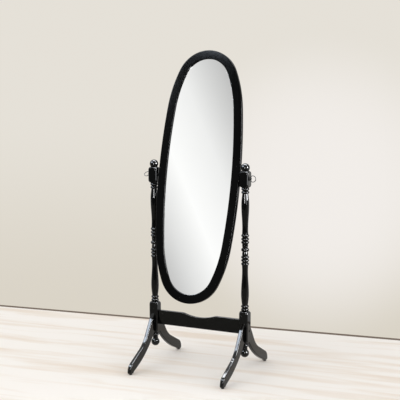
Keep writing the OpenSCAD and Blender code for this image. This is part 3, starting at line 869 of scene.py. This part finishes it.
def turnSpacer():
    s = spacer
    radius, edge, hole = s["wide"] / 2, s["round"], s["bore"] / 2
    strokes = [line(s["inner"], hole), arc(s["inner"] + edge, radius - edge, edge, 180, 90, 4),
               arc((s["inner"] + s["outer"]) / 2, radius + 1.2, 1.75, 223, 317, 6),
               arc(s["outer"] - edge, radius - edge, edge, 90, 0, 4), line(s["outer"], hole)]
    return turnAlongX("pivotSpacerRight", strokes, post["pivot"], 64, closed=True)


def turnWasher():
    w = washer
    radius, hole = w["wide"] / 2, w["bore"] / 2
    strokes = [line(w["inner"], hole), line(w["inner"], radius - 0.3), line(w["inner"] + 0.3, radius),
               arc(w["inner"] + w["rim"] - 0.5, radius - 0.5, 0.5, 90, 0, 3),
               arc(w["outer"] - 0.1, radius - 0.4, 1.8, 180, 240, 6),
               arc(w["outer"] - 0.8, w["seat"] + 0.6, 0.8, 90, 0, 5), line(w["outer"], hole)]
    return turnAlongX("washerRight", strokes, post["pivot"], 64, closed=True)


for make, name in ((turnSpacer, "pivot_spacer_"), (turnWasher, "washer_")):
    right = make()
    left = copyOf(right, right.name.replace("Right", "Left"), across="X")
    for piece, side in ((right, "right"), (left, "left")):
        body = "stand" if make == turnSpacer else "washer_" + side
        handOver(smooth(piece), body, "black_plastic", washerPlastic, name + side)
print("spacers and washers turned")


# Thumbscrews: threaded shank, collar, and a wire bow whose two ends are pressed into the collar

thumbscrew = {
    "tip": 197, "seat": 262, "shank": 6, "collar": 9, "collarLong": 6, "threads": 18,
    "wire": 3.2, "ringX": 274, "bow": 14.4, "turn": 5, "turnFrom": 105, "turnTo": 160, "leftTurn": -50,
}


def bendRing():
    t = thumbscrew
    fromAngle, toAngle = math.radians(t["turnFrom"]), math.radians(t["turnTo"])
    turnCentre = Vector((math.cos(fromAngle), math.sin(fromAngle))) * (t["bow"] - t["turn"])
    bendEnd = turnCentre + Vector((math.cos(toAngle), math.sin(toAngle))) * t["turn"]
    long = (bendEnd.y - t["wire"] / 2) / -math.cos(toAngle)
    prong = bendEnd + Vector((-math.sin(toAngle), math.cos(toAngle))) * long

    def place(at, up):
        return sized(t["ringX"] + at.x, 0, post["pivot"] + up * at.y)

    selectNothing()
    run = place(bendEnd, -1) - place(prong, -1)
    bpy.ops.mesh.primitive_circle_add(vertices=20, radius=t["wire"] / 2 * mm, location=place(prong, -1),
                                      rotation=run.to_track_quat("Z", "Y").to_euler())
    piece = settle(rename(bpy.context.object, "wireRing"))
    editAll(piece)
    extrude(run)
    turnSelection(place(turnCentre, -1), t["turnTo"] - t["turnFrom"], -alongY, 8)
    turnSelection(place(Vector((0, 0)), 1), 2 * t["turnFrom"], -alongY, 48)
    turnSelection(place(turnCentre, 1), t["turnTo"] - t["turnFrom"], -alongY, 8)
    extrude(place(prong, 1) - place(bendEnd, 1))
    selectAll()
    bpy.ops.mesh.fill_holes(sides=0)
    return mendMesh(piece)


def turnShank():
    t = thumbscrew
    radius, core, collar = t["shank"] / 2, t["shank"] / 2 - 0.5, t["collar"] / 2
    tip, seat, end = t["tip"], t["seat"], t["seat"] + t["collarLong"]
    runOut = tip + t["threads"] + 1.5
    strokes = [line(tip, 0), line(tip, core - 0.5), line(tip + 0.6, core), line(runOut, core),
               line(runOut + 0.5, radius), line(seat, radius), line(seat, collar - 0.3),
               line(seat + 0.3, collar), line(seat + 1.6, collar),
               arc(seat + 2.4, collar + 0.2, 0.8, 195, 345, 6), line(seat + 3.3, collar),
               arc(end - 1.6, collar - 1.6, 1.6, 90, 0, 6), line(end, 0)]
    return turnAlongX("thumbscrewRight", strokes, post["pivot"], 48)


shank = turnShank()
crest = thumbscrew["shank"] / 2
ridge = threadRidge(thumbscrew["tip"] + 0.8, thumbscrew["threads"], crest - 0.55, crest, post["pivot"])
screwRight = joined([shank, ridge, bendRing()])
screwLeft = copyOf(screwRight, "thumbscrewLeft", across="X")
turned(screwLeft, thumbscrew["leftTurn"], "X", sized(0, 0, post["pivot"]))
for piece, side in ((screwRight, "right"), (screwLeft, "left")):
    handOver(smooth(piece, 40), "thumbscrew_" + side, "bright_metal", brightMetal, "thumbscrew_" + side)
print("thumbscrews bent and threaded")


# Oval frame: its section drawn at the right edge of the flat-lying mirror, then spun through tangent arcs

oval = {
    "halfWide": 210, "halfLong": 594, "endRadius": 158, "sideAngle": 6.4, "endAngle": 24.2, "tilt": 11.5,
    "front": 9, "face": 41.5, "outerRound": 4.5, "innerRound": 3, "backEase": 1,
    "lip": 6.5, "rebate": 33.5, "ledge": 21.5, "boardFront": -5,
    "insertBore": 10.1, "insertIn": 195.7,
    "screwBore": 3.1, "screwFrom": -5.05, "screwTo": 3.55, "screwIn": 27.5, "screwAngles": (0, 4.2, 17.3, 90),
}


# Side, shoulder and end arc of a quarter, each as its centre's x and y and its radius. The two steps from
# centre to centre follow from the oval's size, the end's radius and the angles at which the arcs meet.
def ovalArcs():
    side, end = math.radians(oval["sideAngle"]), math.radians(oval["endAngle"])
    radius = oval["endRadius"]
    across, up = oval["halfWide"] - radius, oval["halfLong"] - radius
    share = (1 - math.cos(side)) * math.sin(end) - (1 - math.cos(end)) * math.sin(side)
    sideStep = (across * math.sin(end) - up * (1 - math.cos(end))) / share
    shoulderStep = (up * (1 - math.cos(side)) - across * math.sin(side)) / share
    shoulderX, shoulderY = -shoulderStep * math.cos(end), up - shoulderStep * math.sin(end)
    return [(shoulderX - sideStep * math.cos(side), 0, radius + shoulderStep + sideStep),
            (shoulderX, shoulderY, radius + shoulderStep), (0, up, radius)]


def intoMirror(piece):
    piece.matrix_world = (Matrix.Translation(sized(0, 0, post["pivot"]))
                          @ Matrix.Rotation(math.radians(90 - oval["tilt"]), 4, "X"))
    return settle(piece)


def screwPlaces():
    places = []
    for angle in oval["screwAngles"]:
        centreX, centreY, radius = ovalArcs()[(angle > oval["sideAngle"]) + (angle > oval["endAngle"])]
        reach, turn = radius - oval["screwIn"], math.radians(angle)
        x, y = round(centreX + reach * math.cos(turn), 4), round(centreY + reach * math.sin(turn), 4)
        places += sorted({(x, y), (-x, y), (x, -y), (-x, -y)})
    return places


def mouldFrame():
    o = oval
    outer, front, back = o["halfWide"], o["front"], -o["front"]
    inner = outer - o["face"]
    big, small, ease = o["outerRound"], o["innerRound"], o["backEase"]
    strokes = [arc(outer - ease, back + ease, ease, -90, 0, 3),
               arc(outer - big, front - big, big, 0, 90, 8),
               arc(inner + small, front - small, small, 90, 180, 7),
               line(inner, front - o["lip"]), line(outer - o["rebate"], front - o["lip"]),
               line(outer - o["rebate"], o["boardFront"]), line(outer - o["ledge"], o["boardFront"]),
               line(outer - o["ledge"], back)]
    piece = drawStrokes("mirrorFrame", strokes, lambda x, z: sized(x, 0, z), -alongY, closed=True)
    (sideX, _, _), (shoulderX, shoulderY, _), (_, endY, _) = ovalArcs()
    bend, corner, over = o["sideAngle"], o["endAngle"] - o["sideAngle"], 180 - 2 * o["endAngle"]
    runs = [(sideX, 0, bend, 9), (shoulderX, shoulderY, corner, 12), (0, endY, over, 48),
            (-shoulderX, shoulderY, corner, 12), (-sideX, 0, 2 * bend, 18),
            (-shoulderX, -shoulderY, corner, 12), (0, -endY, over, 48),
            (shoulderX, -shoulderY, corner, 12), (sideX, 0, bend, 9)]
    for x, y, angle, steps in runs:
        turnSelection(sized(x, y, 0), angle, alongZ, steps)
    mendMesh(piece, gap=0.02)
    bores = [rod(o["insertBore"], sized(way * o["insertIn"], 0, 0), sized(way * (outer + 4), 0, 0))
             for way in (-1, 1)]
    bores += [rod(o["screwBore"], sized(x, y, o["screwFrom"]), sized(x, y, o["screwTo"]), sides=24)
              for x, y in screwPlaces()]
    carve(piece, joined(bores))
    return intoMirror(piece)


handOver(smooth(mouldFrame()), "mirror", "black_wood", ringPaint, "mirror_frame")
print("oval frame moulded")


# Screws of the backing board: the shank starts at under, measured from the middle of the frame's thickness

screw = {"head": 3, "headHigh": 1.8, "shank": 1.5, "under": -8.5, "long": 12, "slot": 0.8, "slotLong": 3.4,
         "slotDeep": 1.0}


def turnBoardScrew():
    s = screw
    under, top = s["under"], s["under"] - s["headHigh"]
    strokes = [line(0, top), line(0.9, top + 0.02), arc(s["head"] - 1.2, top + 1.2, 1.2, -90, 0, 6),
               line(s["head"], under), line(s["shank"], under), line(s["shank"], under + s["long"] - 3),
               line(0, under + s["long"])]
    piece = turnUpright("boardScrew", strokes, 0, 0, 32)
    wide, long = s["slot"] / 2, s["slotLong"] / 2
    carve(piece, block(sized(-wide, -long, top - 1), sized(wide, long, top + s["slotDeep"])))
    return carve(piece, block(sized(-long, -wide, top - 1), sized(long, wide, top + s["slotDeep"])))


firstScrew = turnBoardScrew()
for number, (x, y) in enumerate(screwPlaces(), 1):
    piece = copyOf(firstScrew, "boardScrew" + str(number), move=sized(x, y, 0))
    turned(piece, 37 * number % 90, "Z", sized(x, y, 0))  # each screw stopped at its own turn
    handOver(smooth(intoMirror(piece)), "mirror", "steel", steelMetal, "board_screws")
discard(firstScrew)
print("board screws driven")


# CAD nodes that keep their shape

kept = {"mirror_glass": silveredGlass(), "packing_sheet": packingFelt(), "backing_board": pressedBoard(),
        "leg_dowels": bareBeech(), "pivot_insert_left": brassMetal, "pivot_insert_right": brassMetal}
for node, finish in kept.items():
    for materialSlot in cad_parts[node].material_slots:
        materialSlot.material = finish
print("kept nodes dressed")


# Floor, in metres. It ends behind in a slanting line with a dark joint, where the wall's tone starts.
# Gloss sees a painted shade on the floor in front: a dim tone standing in for that floor lying out of the
# lamp's light.

floor = {
    "left": -7.0, "right": 7.0, "near": -3.4, "farAt": 0.838, "farSlope": 0.1200, "joint": 0.036,
    "colour": (0.82, 0.73, 0.635), "pale": (0.915, 0.875, 0.825), "jointColour": (0.17, 0.13, 0.10),
    # the dim tone and its fade are painted shade, seen only in gloss
    "paintedShade": (0.43, 0.42, 0.38), "paintedShadeFrom": -0.3, "paintedShadeFully": -0.6, "plankTurn": -5,
}


def layFloor():
    selectNothing()
    bpy.ops.mesh.primitive_plane_add(size=1)
    piece = rename(bpy.context.object, "floor")
    for point in piece.data.vertices:
        x = floor["right"] if point.co.x > 0 else floor["left"]
        y = floor["farAt"] + floor["farSlope"] * x if point.co.y > 0 else floor["near"]
        point.co = (x, y, 0)
    finish, tree, shader = newFinish("paleFloor")
    plankWay = objectCoordinates(tree, (0.35, 3.4, 1), (0, 0, floor["plankTurn"]))
    planks = noise(tree, plankWay, 3.0, 4.0, 0.55, 0.4)
    boards = colours(tree, planks, [(0.34, floor["colour"]), (0.52, floor["pale"])])
    x, y, _ = addNode(tree, "ShaderNodeSeparateXYZ", {"Vector": objectCoordinates(tree)}).outputs
    wallLine = maths(tree, "MULTIPLY_ADD", x, floor["farSlope"], floor["farAt"] - floor["joint"])
    seen = mixed(tree, maths(tree, "GREATER_THAN", y, wallLine), boards, asColour(floor["jointColour"]))
    glossy = addNode(tree, "ShaderNodeLightPath").outputs["Is Glossy Ray"]
    # painted shade: glossy rays see the floor in front in a dim tone, fading in towards the front
    inFront = fade(tree, y, floor["paintedShadeFully"], floor["paintedShadeFrom"], 1.0, 0.0)
    fill(tree, shader, {
        "Base Color": mixed(tree, maths(tree, "MULTIPLY", glossy, inFront), seen, asColour(floor["paintedShade"])),
        "Roughness": between(tree, planks, 0.55, 0.7),
        "Specular IOR Level": 0.02,
    })
    piece.data.materials.append(finish)


layFloor()


# Studio: an even soft light and one broad lamp. Gloss shows the room: a pale wall behind, a soft white card
# high in front, windows to both sides, a long lamp overhead, and little light below eye height in front.

studio = {
    "wall": [(-0.24, (0.70, 0.655, 0.57)), (-0.04, (0.785, 0.75, 0.685))],
    # the wall seen by the camera is painted lighter in one soft round spot, a painted pool of light; its
    # tones run darker towards the floor
    "wallLightPool": {"centre": (-0.33, 0.937, -0.118), "inner": 0.5, "outer": 9, "tone": (0.885, 0.85, 0.815)},
    "evenLight": (0.95, 0.95, 0.95),
    "front": 0.35, "low": 0.07, "back": 0.86, "ceiling": 1.1,
    "card": {"centre": (-0.44, -0.87, 0.23), "inner": 10, "outer": 24,
             "tilt": (0.810, -0.272, 0.519), "shift": 0.0081,
             "tones": [(-0.080, 0.30), (-0.042, 0.65), (-0.028, 0.80), (0.0, 1.05), (0.019, 0.985),
                       (0.038, 0.915), (0.062, 0.70), (0.078, 0.575), (0.11, 0.36)]},
    # each pane: its middle, what it faces, width and height in metres, brightness, colour
    "panes": {
        "leftWindow": ((-1.79, -1.35, 2.57), (0, 0, 2.57), 1.37, 1.25, 30, (0.78, 0.87, 1.0)),
        "leftWindowEnd": ((-1.21, -2.13, 2.86), (0, 0, 2.86), 0.56, 0.68, 30, (0.78, 0.87, 1.0)),
        "rightWindow": ((3.49, -0.24, 1.75), (0, 0, 1.3), 1.00, 1.7, 95, (0.97, 0.98, 1.0)),
        "frontWindow": ((0.60, -2.93, 1.18), (0, 0, 1.0), 0.42, 1.0, 75, (1.0, 1.0, 1.0)),
        "paleScreen": ((2.70, -1.30, 1.25), (0.24, 0, 1.25), 0.80, 1.5, 7, (0.95, 0.97, 1.0)),
        "topLamp": ((0.0, 0.23, 3.0), (0, 0.2, 0.5), 2.60, 0.75, 32, (0.92, 0.95, 1.0)),
        "paleWall": ((1.50, 2.50, 0.75), (0.26, 0, 0.75), 1.60, 1.0, 0.45, (1.0, 0.97, 0.90)),
    },
    "softLamp": {"at": (-1.3, -2.2, 3.4), "aim": (0, 0, 0.3), "size": 2.6, "watts": 16,
                 "colour": (1.0, 0.99, 0.97)},
}


def along(tree, way, direction):
    dot = addNode(tree, "ShaderNodeVectorMath", {0: way, 1: direction}, operation="DOT_PRODUCT")
    return dot.outputs["Value"]


# A round spot in one direction, full inside its inner angle and gone outside the outer one
def spotOf(tree, way, spot):
    near = along(tree, way, Vector(spot["centre"]).normalized())
    return fade(tree, near, math.cos(math.radians(spot["outer"])), math.cos(math.radians(spot["inner"])))


# The white card that the glass shows: brightest on a slanting line and fading off to both sides of it
def cardGlow(tree, way):
    card = studio["card"]
    within = spotOf(tree, way, card)
    across = maths(tree, "ADD", along(tree, way, Vector(card["tilt"])), card["shift"])
    places = [place for place, _ in card["tones"]]
    low, high = places[0], places[-1]
    step = addNode(tree, "ShaderNodeMapRange", {"Value": across, "From Min": low, "From Max": high})
    stops = [((place - low) / (high - low), (tone, tone, tone * 0.995)) for place, tone in card["tones"]]
    return within, colours(tree, step.outputs["Result"], stops)


def hangLight(name, at, facing, wide, high, colour):
    light = bpy.data.lights.new(name, "AREA")
    light.shape = "RECTANGLE"
    light.size, light.size_y = wide, high
    light.color = colour
    lamp = bpy.data.objects.new(name, light)
    bpy.context.scene.collection.objects.link(lamp)
    lamp.visible_camera = False
    lamp.location = at
    lamp.rotation_euler = (Vector(facing) - Vector(at)).to_track_quat("-Z", "Y").to_euler()
    return lamp


def glowing(tree, colour):
    return addNode(tree, "ShaderNodeBackground", {"Color": colour, "Strength": 1.0}).outputs["Background"]


def lightStudio():
    world = bpy.data.worlds.new("softStudio")
    bpy.context.scene.world = world
    world.use_nodes = True
    tree = world.node_tree
    tree.nodes.clear()
    way = addNode(tree, "ShaderNodeTexCoord").outputs["Generated"]
    x, y, z = addNode(tree, "ShaderNodeSeparateXYZ", {"Vector": way}).outputs
    frontTone = fade(tree, z, -0.06, 0.06, studio["low"], studio["front"])
    behind = fade(tree, y, -0.25, 0.25)
    inFront = maths(tree, "MULTIPLY", frontTone, maths(tree, "SUBTRACT", 1.0, behind))
    room = maths(tree, "ADD", inFront, maths(tree, "MULTIPLY", behind, studio["back"]))
    room = maths(tree, "ADD", room, fade(tree, z, 0.4, 0.9, 0.0, studio["ceiling"]))
    within, tones = cardGlow(tree, way)
    mirrored = glowing(tree, mixed(tree, within, room, tones))
    (low, lowTone), (high, highTone) = studio["wall"]
    wallTone = colours(tree, fade(tree, z, low, high), [(0, lowTone), (1, highTone)])
    # painted light: the wall behind is painted lighter in one round spot
    lightPool = studio["wallLightPool"]
    wall = glowing(tree, mixed(tree, spotOf(tree, way, lightPool), wallTone, asColour(lightPool["tone"])))
    even = glowing(tree, asColour(studio["evenLight"]))
    path = addNode(tree, "ShaderNodeLightPath")
    reflected = maths(tree, "MAXIMUM", path.outputs["Is Glossy Ray"], path.outputs["Is Transmission Ray"])
    inside = addNode(tree, "ShaderNodeMixShader", {"Fac": reflected, 1: even, 2: mirrored})
    seen = addNode(tree, "ShaderNodeMixShader",
                   {"Fac": path.outputs["Is Camera Ray"], 1: inside.outputs["Shader"], 2: wall})
    addNode(tree, "ShaderNodeOutputWorld", {"Surface": seen.outputs["Shader"]})

    for name, (at, facing, wide, high, brightness, colour) in studio["panes"].items():
        pane = hangLight(name, at, facing, wide, high, colour)
        pane.data.energy = 4 * wide * high * brightness  # a pane of brightness 1 looks like white paper
        pane.visible_diffuse = False                     # it only shows in gloss
    soft = studio["softLamp"]
    lamp = hangLight("softLamp", soft["at"], soft["aim"], soft["size"], soft["size"], soft["colour"])
    lamp.data.energy = soft["watts"]
    lamp.visible_glossy = False


lightStudio()
print("studio lit")


# The photograph's view: place in metres, angles in degrees, lens in millimetres
view = {"at": (2.0888, -4.2255, 1.4184), "heading": 26.237, "down": 7.397, "roll": -0.1284, "lens": 91.516}

cameraData = bpy.data.cameras.new("photographView")
cameraData.sensor_width = 36
cameraData.lens = view["lens"]
camera = bpy.data.objects.new("photographView", cameraData)
bpy.context.scene.collection.objects.link(camera)
camera.matrix_world = (Matrix.Translation(view["at"]) @ Matrix.Rotation(math.radians(view["heading"]), 4, "Z")
                       @ Matrix.Rotation(math.radians(90 - view["down"]), 4, "X")
                       @ Matrix.Rotation(math.radians(view["roll"]), 4, "Z"))
bpy.context.scene.camera = camera
bpy.context.scene.view_settings.view_transform = "Standard"
print("camera set")

selectNothing()
